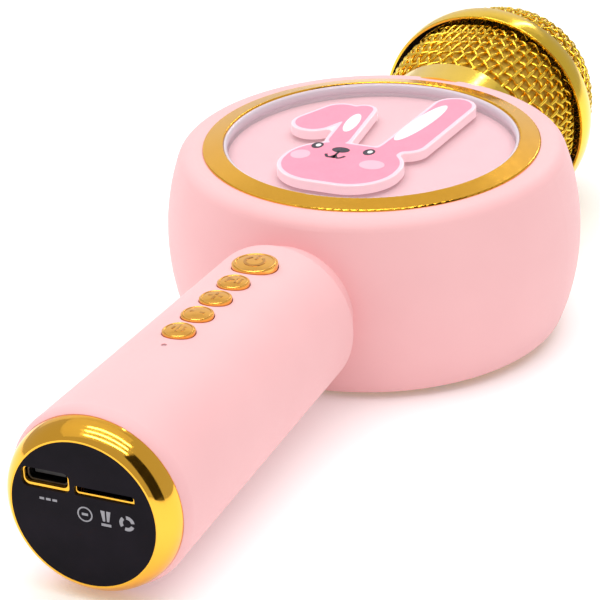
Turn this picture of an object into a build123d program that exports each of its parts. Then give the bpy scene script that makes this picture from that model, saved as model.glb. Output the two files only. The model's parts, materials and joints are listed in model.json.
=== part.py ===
from build123d import *
from math import sqrt
import os

os.makedirs("parts", exist_ok=True)

# Wireless karaoke microphone, millimetres. The flat drum stands on its back, so its axis is Z and
# Z = 0 is the back face. The handle runs along -Y and the round microphone head along +Y, both on
# one axis that lies AXIS_Z above the back face. The rabbit panel and the buttons face +Z.

AXIS_Z = 21.5

# Drum: a barrel-shaped ring between two flat faces.
DRUM_R = 47.35
DRUM_BULGE = 4.2
DRUM_BACK_Z = 0.2
DRUM_FRONT_Z = 42.0
DRUM_WALL = 2.2
FRONT_FILLET = 3.6
BACK_FILLET = 2.0

# Front panel: gold ring round a clear tray, with the rabbit standing on the tray's floor.
RING_OUTER_R = 38.4
RING_INNER_R = 33.6
RING_SEAT_Z = 40.2
RING_OUTER_Z = 42.4
RING_INNER_Z = 43.5
TRAY_FLOOR_Z = 41.0
TRAY_FLOOR_T = 1.0
TRAY_RIM_T = 0.8
TRAY_RIM_Z = 43.1
RABBIT_TOP_Z = 43.2
RABBIT_X = -0.8
RABBIT_Y = -15.6
RABBIT_HEAD_W = 28.5
RABBIT_HEAD_H = 23.0
# Ears as round-ended bars: centre X, centre Y, length, width, angle. The second is the root of
# the first.
RABBIT_EARS = (
    (9.8, 11.5, 34.9, 10.6, 86),
    (7.0, -3.5, 20.0, 7.6, 79),
    (-7.4, 5.7, 25.0, 6.7, 96),
    (-14.5, 8.2, 18.9, 10.9, 66),
)

# Inside of the drum's front: how far the wall thickens and the depth of the seat under the ring.
FRONT_THICKEN = 1.6
FRONT_SEAT_DEPTH = 1.8

# Back: screwed plate, gold ring, perforated grille.
BACK_OPENING_R = 40.4
GRILLE_R = 34.0
GRILLE_HOLE_R = 1.3
GRILLE_PITCH = 5.2
GRILLE_RINGS = 5
SCREW_CIRCLE_R = 37.2
SCREW_HEAD_R = 2.0
SCREW_THREAD_R = 1.0
SCREW_CORE_R = 1.02

# Handle: a slim cone that widens towards its free end.
HANDLE_TOP_Y = -51.3
HANDLE_TOP_R = 17.35
TOP_ROUND = 0.6
HANDLE_LIP_Y = -132.0
HANDLE_LIP_R = 19.6
HANDLE_END_Y = -135.0
HANDLE_END_R = 18.65
HANDLE_WALL = 1.8
NECK_R = 14.4
CAP_FACE_Y = -140.6
CAP_FACE_R = 15.9
LABEL_R = 15.5
LABEL_T = 0.5
LABEL_RECESS = 0.05
SKIRT_R = 17.6
SKIRT_Y = -126.0
CAP_FLOOR_T = 2.2
USB_MOUTH_Y = -139.2

# Ports in the handle's end, seen along +Y: centre X, height above the axis, width, height. The
# label's cut-outs are larger and reach lower than the cap's, so a gold lip shows under each port.
USB_PORT = (-7.75, 6.45, 9.4, 3.4)
CARD_PORT = (4.85, 5.35, 12.1, 1.3)
USB_WINDOW = (-7.75, 6.1, 10.4, 4.3)
CARD_WINDOW = (4.85, 5.05, 12.9, 2.0)
PORT_BOARD_TOP = 4.45

# Buttons on the handle's +Z side: distance along Y and radius.
BUTTONS = {
    "power": (-62.3, 4.9),
    "play": (-72.6, 3.4),
    "volume_up": (-81.0, 3.4),
    "volume_down": (-89.35, 3.4),
    "voice": (-97.7, 3.4),
}
BUTTON_CLEARANCE = 0.15
BUTTON_PROUD = 0.9
BUTTON_FLANGE = 0.4
BUTTON_DOME = 0.55
BUTTON_FLANGE_T = 0.8
BUTTON_TRAVEL = 0.5
BOARD_Z = 8.0
BOARD_T = 1.2
SWITCH_H = 3.5
SWITCH_W = 6.0
MAIN_LENGTH = 56.0
MAIN_Y = -84.0
STATUS_LIGHT_Y = -104.2
STATUS_LIGHT_R = 0.6

# Round 18 x 65 battery cell, under the main board.
CELL_R = 9.1
CELL_Z = -4.6
CELL_Y = -91.6
CELL_LENGTH = 65.0

# Head: collar, lower mesh bowl, polished band, upper mesh dome.
COLLAR_R = 21.0
COLLAR_Y = 45.6
MESH_Y = 50.5
MESH_LOW_R = 20.6
MESH_MAX_R = 24.4
MESH_T = 1.6
BAND_R = 26.65
BAND_RIM_R = 26.25
BAND_T = 1.0
BAND_LOW_Y = 69.5
BAND_HIGH_Y = 76.0
BAND_WEB_Y = BAND_HIGH_Y - 2.0
DOME_TIP_Y = 106.9
SPIGOT_R = 17.0
THREAD_CLEARANCE = 0.05
SPIGOT_LOW_Y = 42.0
SPIGOT_TOP_Y = 55.5
NECK_RING_Y = 40.5
WASHER_T = 0.3
FOAM_GAP = 0.3
FOAM_T = 2.6
FOAM_LOW_Y = 60.0
CAPSULE_Y = 80.0

# Loudspeaker, facing -Z behind the grille.
SPEAKER_FRAME_R = 30.5
CONE_R = 22.0
CONE_EDGE_Z = 4.8
CONE_NECK_Z = 9.0
COIL_R = 6.5
MAGNET_R = 15.0

# Height of the wires that cross the drum.
WIRE_Z = AXIS_Z + 5.0

LONG_AXIS = Axis((0, 0, AXIS_Z), (0, 1, 0))
# Local x runs along the microphone's length and local y is the radius from its long axis.
LONG_PLANE = Plane(origin=(0, 0, AXIS_Z), x_dir=(0, 1, 0), z_dir=(1, 0, 0))


def cross_plane(y):
    """Plane across the long axis at y: local x is X, local y is the height above the axis."""
    return Plane(origin=(0, y, AXIS_Z), x_dir=(1, 0, 0), z_dir=(0, -1, 0))


def drum_r(z):
    """Outer radius of the barrel wall at height z."""
    return DRUM_R - DRUM_BULGE * ((z - AXIS_Z) / 20.9) ** 2


def handle_r(y):
    """Outer radius of the handle's cone at y."""
    taper = (HANDLE_LIP_R - HANDLE_TOP_R) / (HANDLE_LIP_Y - HANDLE_TOP_Y)
    return HANDLE_TOP_R + taper * (y - HANDLE_TOP_Y)


def save(piece, node):
    piece.part.label = node
    export_step(piece.part, f"parts/{node}.step")


def tube(outer_r, inner_r, y_from, y_to):
    """Plain tube on the long axis."""
    with BuildPart() as piece:
        with BuildSketch(cross_plane(y_to)):
            Circle(outer_r)
            if inner_r > 0:
                Circle(inner_r, mode=Mode.SUBTRACT)
        extrude(amount=y_to - y_from)
    return piece


def disc(outer_r, inner_r, z_from, z_to):
    """Flat ring on the drum's axis."""
    with BuildPart() as piece:
        with BuildSketch(Plane.XY.offset(z_from)):
            Circle(outer_r)
            if inner_r > 0:
                Circle(inner_r, mode=Mode.SUBTRACT)
        extrude(amount=z_to - z_from)
    return piece


def block(x, y, z, size):
    """Plain box with its centre at x, y and its underside at z."""
    with BuildPart() as piece:
        with Locations((x, y, z + size[2] / 2)):
            Box(*size)
    return piece


def wire(points, bend, radius):
    """Round wire through points, with bends of one radius."""
    with BuildPart() as piece:
        with BuildLine() as route:
            FilletPolyline(*points, radius=bend)
        start = route.wires()[0]
        with BuildSketch(Plane(origin=start @ 0, z_dir=start % 0)):
            Circle(radius)
        sweep()
    return piece


# ---------------------------------------------------------------- drum

with BuildPart() as drum_blank:
    with BuildSketch(Plane.XZ) as drum_section:
        with BuildLine():
            low = (drum_r(DRUM_BACK_Z), DRUM_BACK_Z)
            high = (drum_r(DRUM_FRONT_Z), DRUM_FRONT_Z)
            ThreePointArc(low, (DRUM_R, AXIS_Z), high)
            Polyline(high, (0, DRUM_FRONT_Z), (0, DRUM_BACK_Z), low)
        make_face()
        back_corner = drum_section.vertices().group_by(Axis.Y)[0].sort_by(Axis.X)[-1]
        fillet(back_corner, BACK_FILLET)
        front_corner = drum_section.vertices().group_by(Axis.Y)[-1].sort_by(Axis.X)[-1]
        fillet(front_corner, FRONT_FILLET)
    revolve(axis=Axis.Z)

with BuildPart() as drum_shell:
    add(drum_blank.part)
    with BuildSketch(Plane.XZ):
        with BuildLine():
            low = (drum_r(DRUM_BACK_Z) - DRUM_WALL, DRUM_BACK_Z)
            high = (drum_r(DRUM_FRONT_Z) - DRUM_WALL - FRONT_THICKEN, RING_SEAT_Z - FRONT_SEAT_DEPTH)
            ThreePointArc(low, (DRUM_R - DRUM_WALL, AXIS_Z), high)
            Polyline(high, (0, RING_SEAT_Z - FRONT_SEAT_DEPTH), (0, DRUM_BACK_Z), low)
        make_face()
    revolve(axis=Axis.Z, mode=Mode.SUBTRACT)
    with BuildSketch(Plane.XY.offset(AXIS_Z)):
        Circle(RING_INNER_R + 1)
    extrude(amount=AXIS_Z, mode=Mode.SUBTRACT)
    with BuildSketch(Plane.XY.offset(RING_SEAT_Z)):
        Circle(RING_OUTER_R + 0.03)
    extrude(amount=AXIS_Z, mode=Mode.SUBTRACT)
    with BuildSketch(cross_plane(0)):
        Circle(NECK_R)
    extrude(amount=60, mode=Mode.SUBTRACT)
    with BuildSketch(cross_plane(60)):
        Circle(SPIGOT_R)
    extrude(amount=60, mode=Mode.SUBTRACT)
save(drum_shell, "drum_shell")

# Inner ring glued in the shell: the back plate rests on it and its screws go into it.
with BuildPart() as screw_ring:
    add(disc(BACK_OPENING_R + 0.6, SPEAKER_FRAME_R + 3.2, 4.0, 8.0).part)
    with Locations(Plane.XY.offset(8.0)):
        with PolarLocations(SCREW_CIRCLE_R, 4, start_angle=45):
            Hole(SCREW_CORE_R)
save(screw_ring, "screw_ring")

with BuildPart() as front_ring:
    with BuildSketch(Plane.XZ) as ring_section:
        Polygon(
            (RING_INNER_R, RING_SEAT_Z),
            (RING_OUTER_R, RING_SEAT_Z),
            (RING_OUTER_R, RING_OUTER_Z),
            (RING_INNER_R, RING_INNER_Z),
            align=None,
        )
        crown = ring_section.vertices().filter_by(lambda v: v.Y > RING_SEAT_Z + 1)
        fillet(crown, 0.35)
    revolve(axis=Axis.Z)
save(front_ring, "front_ring")

with BuildPart() as lens_tray:
    with BuildSketch(Plane.XY.offset(TRAY_FLOOR_Z - TRAY_FLOOR_T)):
        Circle(RING_INNER_R - 0.05)
    extrude(amount=TRAY_RIM_Z - TRAY_FLOOR_Z + TRAY_FLOOR_T)
    with BuildSketch(Plane.XY.offset(TRAY_FLOOR_Z)):
        Circle(RING_INNER_R - 0.05 - TRAY_RIM_T)
    extrude(amount=TRAY_RIM_Z - TRAY_FLOOR_Z, mode=Mode.SUBTRACT)
    chamfer(lens_tray.edges().group_by(Axis.Z)[-1].sort_by(SortBy.LENGTH)[0], 0.5)
save(lens_tray, "lens_tray")

save(disc(RING_INNER_R + 0.9, 0, RING_SEAT_Z - 1.5, TRAY_FLOOR_Z - TRAY_FLOOR_T), "picture_panel")

# Rabbit standing on the tray's floor: a round head, one straight ear and one that flops over.
with BuildPart() as rabbit_relief:
    with BuildSketch(Plane.XY.offset(TRAY_FLOOR_Z)):
        with Locations((RABBIT_X, RABBIT_Y)):
            RectangleRounded(RABBIT_HEAD_W, RABBIT_HEAD_H, RABBIT_HEAD_H / 2 - 0.6)
        for ear_x, ear_y, length, width, angle in RABBIT_EARS:
            with Locations(Location((ear_x, ear_y), angle)):
                SlotOverall(length, width)
        offset(amount=1.0)
        offset(amount=-1.0)
    extrude(amount=RABBIT_TOP_Z - TRAY_FLOOR_Z)
    fillet(rabbit_relief.edges().group_by(Axis.Z)[-1], 0.3)
save(rabbit_relief, "rabbit_relief")

# Back plate with the gold ring glued into its edge and the loudspeaker screwed behind it.
with BuildPart() as back_plate:
    add(disc(BACK_OPENING_R, SPEAKER_FRAME_R - 3, 1.6, 4.0).part)
    with Locations(Plane.XY.offset(4.0)):
        with PolarLocations(SCREW_CIRCLE_R, 4, start_angle=45):
            Hole(SCREW_THREAD_R + 0.2)
save(back_plate, "back_plate")

with BuildPart() as back_ring:
    add(disc(BACK_OPENING_R, GRILLE_R, 0, 1.6).part)
    chamfer(back_ring.edges().group_by(Axis.Z)[0].sort_by(SortBy.LENGTH)[-1], 0.4)
    with Locations(Plane.XY.offset(1.6)):
        with PolarLocations(SCREW_CIRCLE_R, 4, start_angle=45):
            Hole(SCREW_HEAD_R + 0.15)
save(back_ring, "back_ring")

with BuildPart() as back_grille:
    add(disc(GRILLE_R, 0, 0.6, 1.6).part)
    with BuildSketch(Plane.XY.offset(1.6)):
        Circle(GRILLE_HOLE_R)
        for ring in range(1, GRILLE_RINGS + 1):
            with PolarLocations(ring * GRILLE_PITCH, 6 * ring):
                Circle(GRILLE_HOLE_R)
    extrude(amount=-1.0, mode=Mode.SUBTRACT)
save(back_grille, "back_grille")

with BuildPart() as back_screws:
    with BuildSketch(Plane.XY.offset(0.5)):
        with PolarLocations(SCREW_CIRCLE_R, 4, start_angle=45):
            Circle(SCREW_HEAD_R)
    extrude(amount=1.1)
    with BuildSketch(Plane.XY.offset(1.6)):
        with PolarLocations(SCREW_CIRCLE_R, 4, start_angle=45):
            Circle(SCREW_THREAD_R)
    extrude(amount=5.6)
    with BuildSketch(Plane.XY.offset(0.5)):
        with PolarLocations(SCREW_CIRCLE_R, 4, start_angle=45):
            Rectangle(2.2, 0.45)
            Rectangle(0.45, 2.2)
    extrude(amount=0.6, mode=Mode.SUBTRACT)
save(back_screws, "back_screws")

# ---------------------------------------------------------------- loudspeaker, facing -Z

save(disc(SPEAKER_FRAME_R, SPEAKER_FRAME_R - 3, 4.0, 4.6), "speaker_gasket")

with BuildPart() as speaker_basket:
    with BuildSketch(Plane.XZ):
        with BuildLine():
            Polyline(
                (SPEAKER_FRAME_R - 3.5, 4.6),
                (SPEAKER_FRAME_R, 4.6),
                (SPEAKER_FRAME_R, 5.8),
                (SPEAKER_FRAME_R - 2.5, 5.8),
                (MAGNET_R + 3, 14.4),
                (COIL_R + 1.0, 14.4),
                (COIL_R + 1.0, 13.2),
                (MAGNET_R + 2, 13.2),
                (SPEAKER_FRAME_R - 3.5, 5.8),
                close=True,
            )
        make_face()
    revolve(axis=Axis.Z)
    with BuildSketch(Plane.XY.offset(6.4)):
        with PolarLocations(22.5, 6):
            RectangleRounded(6.0, 9.0, 1.0)
    extrude(amount=6.4, mode=Mode.SUBTRACT)
save(speaker_basket, "speaker_basket")

save(disc(MAGNET_R - 1, COIL_R + 1.0, 14.4, 16.0), "speaker_front_plate")
save(disc(MAGNET_R, COIL_R + 2.6, 16.0, 21.0), "speaker_magnet")

with BuildPart() as speaker_yoke:
    add(disc(MAGNET_R - 1, 0, 21.0, 22.6).part)
    with BuildSketch(Plane.XY.offset(14.0)):
        Circle(COIL_R - 0.6)
    extrude(amount=7.0)
save(speaker_yoke, "speaker_yoke")

with BuildPart() as speaker_cone:
    with BuildSketch(Plane.XZ):
        with BuildLine():
            Polyline(
                (CONE_R, CONE_EDGE_Z),
                (COIL_R + 0.3, CONE_NECK_Z),
                (COIL_R + 0.3, CONE_NECK_Z + 0.5),
                (CONE_R, CONE_EDGE_Z + 0.5),
                close=True,
            )
        make_face()
    revolve(axis=Axis.Z)
save(speaker_cone, "speaker_cone")

save(disc(COIL_R + 0.3, COIL_R - 0.2, CONE_NECK_Z, 16.2), "voice_coil")

with BuildPart() as dust_cap:
    with BuildSketch(Plane.XZ):
        with BuildLine():
            ThreePointArc((0, CONE_NECK_Z - 2.6), (4.0, CONE_NECK_Z - 1.9), (COIL_R + 0.3, CONE_NECK_Z))
            Polyline(
                (COIL_R + 0.3, CONE_NECK_Z),
                (COIL_R - 0.5, CONE_NECK_Z),
                (3.6, CONE_NECK_Z - 1.5),
                (0, CONE_NECK_Z - 2.1),
                (0, CONE_NECK_Z - 2.6),
            )
        make_face()
    revolve(axis=Axis.Z)
save(dust_cap, "dust_cap")

with BuildPart() as speaker_surround:
    with BuildSketch(Plane.XZ):
        with BuildLine():
            ThreePointArc((CONE_R, 5.0), (24.4, 3.2), (26.8, 5.0))
            Line((26.8, 5.0), (26.3, 5.0))
            ThreePointArc((26.3, 5.0), (24.4, 3.7), (22.5, 5.0))
            Line((22.5, 5.0), (CONE_R, 5.0))
        make_face()
    revolve(axis=Axis.Z)
save(speaker_surround, "speaker_surround")

save(disc(15.6, COIL_R + 0.35, 10.6, 11.0), "speaker_spider")

# ---------------------------------------------------------------- electronics in the drum

save(disc(36.0, 8.0, 30.0, 31.2), "amp_board")

with BuildPart() as amp_components:
    with BuildSketch(Plane.XY.offset(30.0)):
        with PolarLocations(22.0, 3, start_angle=30):
            Rectangle(5.0, 5.0)
        with PolarLocations(29.0, 6, start_angle=12):
            Rectangle(1.6, 3.0)
    extrude(amount=-1.6)
    with BuildSketch(Plane.XY.offset(30.0)):
        with PolarLocations(15.0, 2, start_angle=75):
            Circle(2.5)
    extrude(amount=-5.0)
save(amp_components, "amp_components")

# ---------------------------------------------------------------- handle

with BuildPart() as handle_tube:
    with BuildSketch(LONG_PLANE) as handle_section:
        with BuildLine():
            Line((HANDLE_TOP_Y, 0), (HANDLE_TOP_Y, HANDLE_TOP_R - TOP_ROUND))
            ThreePointArc(
                (HANDLE_TOP_Y, HANDLE_TOP_R - TOP_ROUND),
                (HANDLE_TOP_Y - 0.3 * TOP_ROUND, HANDLE_TOP_R - 0.27 * TOP_ROUND),
                (HANDLE_TOP_Y - TOP_ROUND, handle_r(HANDLE_TOP_Y - TOP_ROUND)),
            )
            cone_start = (HANDLE_TOP_Y - TOP_ROUND, handle_r(HANDLE_TOP_Y - TOP_ROUND))
            Line(cone_start, (HANDLE_LIP_Y, HANDLE_LIP_R))
            ThreePointArc(
                (HANDLE_LIP_Y, HANDLE_LIP_R),
                (HANDLE_LIP_Y - 2.0, HANDLE_LIP_R - 0.28),
                (HANDLE_END_Y, HANDLE_END_R),
            )
            Polyline((HANDLE_END_Y, HANDLE_END_R), (HANDLE_END_Y, 0), (HANDLE_TOP_Y, 0))
        make_face()
    revolve(axis=LONG_AXIS)
    with BuildSketch(LONG_PLANE):
        with BuildLine():
            Polyline(
                (HANDLE_END_Y, 0),
                (HANDLE_END_Y, SKIRT_R + 0.05),
                (SKIRT_Y, SKIRT_R + 0.05),
                (SKIRT_Y, handle_r(SKIRT_Y) - HANDLE_WALL),
                (HANDLE_TOP_Y - HANDLE_WALL, handle_r(HANDLE_TOP_Y) - HANDLE_WALL),
                (HANDLE_TOP_Y - HANDLE_WALL, NECK_R),
                (HANDLE_TOP_Y, NECK_R),
                (HANDLE_TOP_Y, 0),
                close=True,
            )
        make_face()
    revolve(axis=LONG_AXIS, mode=Mode.SUBTRACT)
    for button_y, button_r in BUTTONS.values():
        with BuildSketch(Plane.XY.offset(AXIS_Z)):
            with Locations((0, button_y)):
                Circle(button_r + BUTTON_CLEARANCE)
        extrude(amount=HANDLE_LIP_R, mode=Mode.SUBTRACT)
    with BuildSketch(Plane.XY.offset(AXIS_Z)):
        with Locations((0, STATUS_LIGHT_Y)):
            Circle(STATUS_LIGHT_R)
    extrude(amount=HANDLE_LIP_R, mode=Mode.SUBTRACT)
save(handle_tube, "handle_tube")

# Short pink sleeve that joins the handle to the drum.
with BuildPart() as neck_sleeve:
    add(tube(NECK_R, NECK_R - 2.0, HANDLE_TOP_Y - HANDLE_WALL, -42.5).part)
save(neck_sleeve, "neck_sleeve")

with BuildPart() as status_light:
    with BuildSketch(Plane.XY.offset(AXIS_Z + BOARD_Z + BOARD_T)):
        with Locations((0, STATUS_LIGHT_Y)):
            Circle(STATUS_LIGHT_R - 0.02)
    extrude(amount=handle_r(STATUS_LIGHT_Y) - BOARD_Z - BOARD_T - 0.25)
save(status_light, "status_light")

# ---------------------------------------------------------------- end cap and ports


def port_cutter(port, length):
    """Rounded prism for one port's cut-out, from the handle's end face inwards."""
    x, up, width, height = port
    with BuildPart() as cutter:
        with BuildSketch(cross_plane(CAP_FACE_Y + length)):
            with Locations((x, up)):
                RectangleRounded(width, height, height * 0.32)
        extrude(amount=length + 1)
    return cutter.part


with BuildPart() as end_cap:
    with BuildSketch(LONG_PLANE):
        with BuildLine():
            Polyline((SKIRT_Y + 0.2, 0), (SKIRT_Y + 0.2, SKIRT_R), (HANDLE_END_Y, SKIRT_R))
            Line((HANDLE_END_Y, SKIRT_R), (HANDLE_END_Y, HANDLE_END_R - 0.1))
            ThreePointArc(
                (HANDLE_END_Y, HANDLE_END_R - 0.1),
                (-139.0, 17.45),
                (CAP_FACE_Y, CAP_FACE_R),
            )
            Polyline(
                (CAP_FACE_Y, CAP_FACE_R),
                (CAP_FACE_Y, LABEL_R + 0.03),
                (CAP_FACE_Y + LABEL_T, LABEL_R + 0.03),
                (CAP_FACE_Y + LABEL_T, 0),
                (SKIRT_Y + 0.2, 0),
            )
        make_face()
    revolve(axis=LONG_AXIS)
    with BuildSketch(cross_plane(SKIRT_Y + 1)):
        Circle(SKIRT_R - 1.6)
    extrude(amount=SKIRT_Y + 1 - (CAP_FACE_Y + CAP_FLOOR_T), mode=Mode.SUBTRACT)
    add(port_cutter(USB_PORT, 4), mode=Mode.SUBTRACT)
    add(port_cutter(CARD_PORT, 4), mode=Mode.SUBTRACT)
save(end_cap, "end_cap")

with BuildPart() as end_label:
    add(tube(LABEL_R, 0, CAP_FACE_Y + LABEL_RECESS, CAP_FACE_Y + LABEL_T).part)
    add(port_cutter(USB_WINDOW, 4), mode=Mode.SUBTRACT)
    add(port_cutter(CARD_WINDOW, 4), mode=Mode.SUBTRACT)
save(end_label, "end_label")

with BuildPart() as usb_receptacle:
    with BuildSketch(cross_plane(USB_MOUTH_Y + 7.3)):
        with Locations((USB_PORT[0], USB_PORT[1])):
            RectangleRounded(8.94, 3.26, 1.2)
    extrude(amount=7.3)
    with BuildSketch(cross_plane(USB_MOUTH_Y + 6.5)):
        with Locations((USB_PORT[0], USB_PORT[1])):
            RectangleRounded(8.34, 2.56, 1.0)
    extrude(amount=6.6, mode=Mode.SUBTRACT)
save(usb_receptacle, "usb_receptacle")

with BuildPart() as usb_tongue:
    with BuildSketch(cross_plane(USB_MOUTH_Y + 6.5)):
        with Locations((USB_PORT[0], USB_PORT[1])):
            Rectangle(6.7, 0.7)
    extrude(amount=5.6)
save(usb_tongue, "usb_tongue")

with BuildPart() as card_socket:
    with BuildSketch(cross_plane(USB_MOUTH_Y + 14.5)):
        with Locations((CARD_PORT[0], PORT_BOARD_TOP + 0.95)):
            Rectangle(13.4, 1.9)
    extrude(amount=13.2)
    with BuildSketch(cross_plane(USB_MOUTH_Y + 13.5)):
        with Locations((CARD_PORT[0], CARD_PORT[1])):
            Rectangle(11.3, 1.0)
    extrude(amount=12.6, mode=Mode.SUBTRACT)
save(card_socket, "card_socket")

save(
    block(-1.0, USB_MOUTH_Y + 7.9, AXIS_Z + PORT_BOARD_TOP - BOARD_T, (25.0, 13.2, BOARD_T)),
    "port_board",
)

# ---------------------------------------------------------------- handle electronics

save(block(0, MAIN_Y, AXIS_Z + BOARD_Z, (20.0, MAIN_LENGTH, BOARD_T)), "main_board")

with BuildPart() as tact_switches:
    with BuildSketch(Plane.XY.offset(AXIS_Z + BOARD_Z + BOARD_T)):
        for button_y, _ in BUTTONS.values():
            with Locations((0, button_y)):
                RectangleRounded(SWITCH_W, SWITCH_W, 0.4)
    extrude(amount=SWITCH_H)
save(tact_switches, "tact_switches")

with BuildPart() as main_components:
    with BuildSketch(Plane.XY.offset(AXIS_Z + BOARD_Z)):
        with Locations((-4, -70)):
            Rectangle(7.0, 7.0)
        with Locations((4.5, -88)):
            Rectangle(5.0, 9.0)
        with GridLocations(3.4, 3.6, 4, 2):
            with Locations((0, -101)):
                Rectangle(1.2, 2.0)
    extrude(amount=-1.2)
save(main_components, "main_components")

for name, (button_y, button_r) in BUTTONS.items():
    top = AXIS_Z + handle_r(button_y) + BUTTON_PROUD
    wall_r = handle_r(button_y) - HANDLE_WALL
    flange_top = AXIS_Z + sqrt(wall_r**2 - (button_r + BUTTON_FLANGE) ** 2) - 0.2
    switch_top = AXIS_Z + BOARD_Z + BOARD_T + SWITCH_H
    dome_r = (button_r**2 + BUTTON_DOME**2) / (2 * BUTTON_DOME)
    half_way = top - dome_r + sqrt(dome_r**2 - (button_r / 2) ** 2)
    with BuildPart() as button:
        with BuildSketch(Plane(origin=(0, button_y, 0), x_dir=(1, 0, 0), z_dir=(0, -1, 0))):
            with BuildLine():
                Polyline(
                    (0, flange_top - BUTTON_FLANGE_T),
                    (button_r + BUTTON_FLANGE, flange_top - BUTTON_FLANGE_T),
                    (button_r + BUTTON_FLANGE, flange_top),
                    (button_r, flange_top),
                    (button_r, top - BUTTON_DOME),
                )
                ThreePointArc((button_r, top - BUTTON_DOME), (button_r / 2, half_way), (0, top))
                Line((0, top), (0, flange_top - BUTTON_FLANGE_T))
            make_face()
        revolve(axis=Axis((0, button_y, 0), (0, 0, 1)))
    save(button, f"{name}_button")
    with BuildPart() as stem:
        with BuildSketch(Plane.XY.offset(switch_top + BUTTON_TRAVEL + 0.05)):
            with Locations((0, button_y)):
                Circle(1.5)
        extrude(amount=flange_top - BUTTON_FLANGE_T - switch_top - BUTTON_TRAVEL - 0.05)
    save(stem, f"{name}_stem")

with BuildPart() as battery_cell:
    with BuildSketch(cross_plane(CELL_Y + CELL_LENGTH / 2)):
        with Locations((0, CELL_Z)):
            Circle(CELL_R)
    extrude(amount=CELL_LENGTH)
    with BuildSketch(cross_plane(CELL_Y - CELL_LENGTH / 2)):
        with Locations((0, CELL_Z)):
            Circle(2.8)
    extrude(amount=1.2)
save(battery_cell, "battery_cell")

with BuildPart() as battery_cradle:
    for y_from in (-118.0, -72.0):
        with BuildSketch(cross_plane(y_from + 5)):
            with Locations((0, CELL_Z)):
                Circle(CELL_R + 1.4)
                Circle(CELL_R + 0.02, mode=Mode.SUBTRACT)
            with Locations((0, CELL_Z + CELL_R + 2)):
                Rectangle(4 * CELL_R, CELL_R + 4, mode=Mode.SUBTRACT)
        extrude(amount=5)
save(battery_cradle, "battery_cradle")

# ---------------------------------------------------------------- neck and head

with BuildPart() as neck_ring:
    add(tube(COLLAR_R, SPIGOT_R, NECK_RING_Y, COLLAR_Y - WASHER_T).part)
    add(drum_blank.part, mode=Mode.SUBTRACT)
save(neck_ring, "neck_ring")

save(tube(SPIGOT_R, SPIGOT_R - 2.2, SPIGOT_LOW_Y, SPIGOT_TOP_Y), "spigot")
save(tube(COLLAR_R, SPIGOT_R + 0.3, COLLAR_Y - WASHER_T, COLLAR_Y), "head_washer")

with BuildPart() as head_collar:
    with BuildSketch(LONG_PLANE):
        Polygon(
            (COLLAR_Y, SPIGOT_R + THREAD_CLEARANCE),
            (COLLAR_Y, COLLAR_R),
            (MESH_Y - 0.4, COLLAR_R),
            (MESH_Y, COLLAR_R - 0.4),
            (MESH_Y, SPIGOT_R + 1.4),
            (SPIGOT_TOP_Y + 0.5, SPIGOT_R + 1.4),
            (SPIGOT_TOP_Y + 0.5, SPIGOT_R + THREAD_CLEARANCE),
            align=None,
        )
    revolve(axis=LONG_AXIS)
save(head_collar, "head_collar")

with BuildPart() as lower_mesh:
    with BuildSketch(LONG_PLANE):
        with BuildLine():
            ThreePointArc((MESH_Y, MESH_LOW_R), (59.0, 23.2), (BAND_WEB_Y, MESH_MAX_R))
            Line((BAND_WEB_Y, MESH_MAX_R), (BAND_WEB_Y, MESH_MAX_R - MESH_T))
            ThreePointArc(
                (BAND_WEB_Y, MESH_MAX_R - MESH_T),
                (59.0, 23.2 - MESH_T),
                (MESH_Y, MESH_LOW_R - MESH_T),
            )
            Line((MESH_Y, MESH_LOW_R - MESH_T), (MESH_Y, MESH_LOW_R))
        make_face()
    revolve(axis=LONG_AXIS)
save(lower_mesh, "lower_mesh")

with BuildPart() as head_band:
    with BuildSketch(LONG_PLANE) as band_section:
        with BuildLine():
            ThreePointArc(
                (BAND_LOW_Y, BAND_RIM_R),
                ((BAND_LOW_Y + BAND_HIGH_Y) / 2, BAND_R),
                (BAND_HIGH_Y, BAND_RIM_R),
            )
            Polyline(
                (BAND_HIGH_Y, BAND_RIM_R),
                (BAND_HIGH_Y, MESH_MAX_R - MESH_T),
                (BAND_WEB_Y, MESH_MAX_R - MESH_T),
                (BAND_WEB_Y, BAND_R - BAND_T),
                (BAND_LOW_Y, BAND_R - BAND_T),
                (BAND_LOW_Y, BAND_RIM_R),
            )
        make_face()
        fillet(band_section.vertices().filter_by(lambda v: v.Y > BAND_RIM_R - 0.1), 0.25)
    revolve(axis=LONG_AXIS)
save(head_band, "head_band")

with BuildPart() as upper_mesh:
    with BuildSketch(LONG_PLANE):
        with Locations((BAND_HIGH_Y, 0)):
            Ellipse(DOME_TIP_Y - BAND_HIGH_Y, MESH_MAX_R)
            Ellipse(DOME_TIP_Y - BAND_HIGH_Y - MESH_T, MESH_MAX_R - MESH_T, mode=Mode.SUBTRACT)
        with Locations((BAND_HIGH_Y + 50, 50)):
            Rectangle(100, 100, mode=Mode.INTERSECT)
    revolve(axis=LONG_AXIS)
save(upper_mesh, "upper_mesh")

with BuildPart() as foam_windscreen:
    with BuildSketch(LONG_PLANE):
        with Locations((BAND_HIGH_Y, 0)):
            Ellipse(DOME_TIP_Y - BAND_HIGH_Y - MESH_T - FOAM_GAP, MESH_MAX_R - MESH_T - FOAM_GAP)
        with Locations((BAND_HIGH_Y, 0)):
            Ellipse(
                DOME_TIP_Y - BAND_HIGH_Y - MESH_T - FOAM_T,
                MESH_MAX_R - MESH_T - FOAM_T,
                mode=Mode.SUBTRACT,
            )
        with Locations(((FOAM_LOW_Y + DOME_TIP_Y) / 2, 50)):
            Rectangle(DOME_TIP_Y - FOAM_LOW_Y, 100, mode=Mode.INTERSECT)
    revolve(axis=LONG_AXIS)
save(foam_windscreen, "foam_windscreen")

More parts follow.
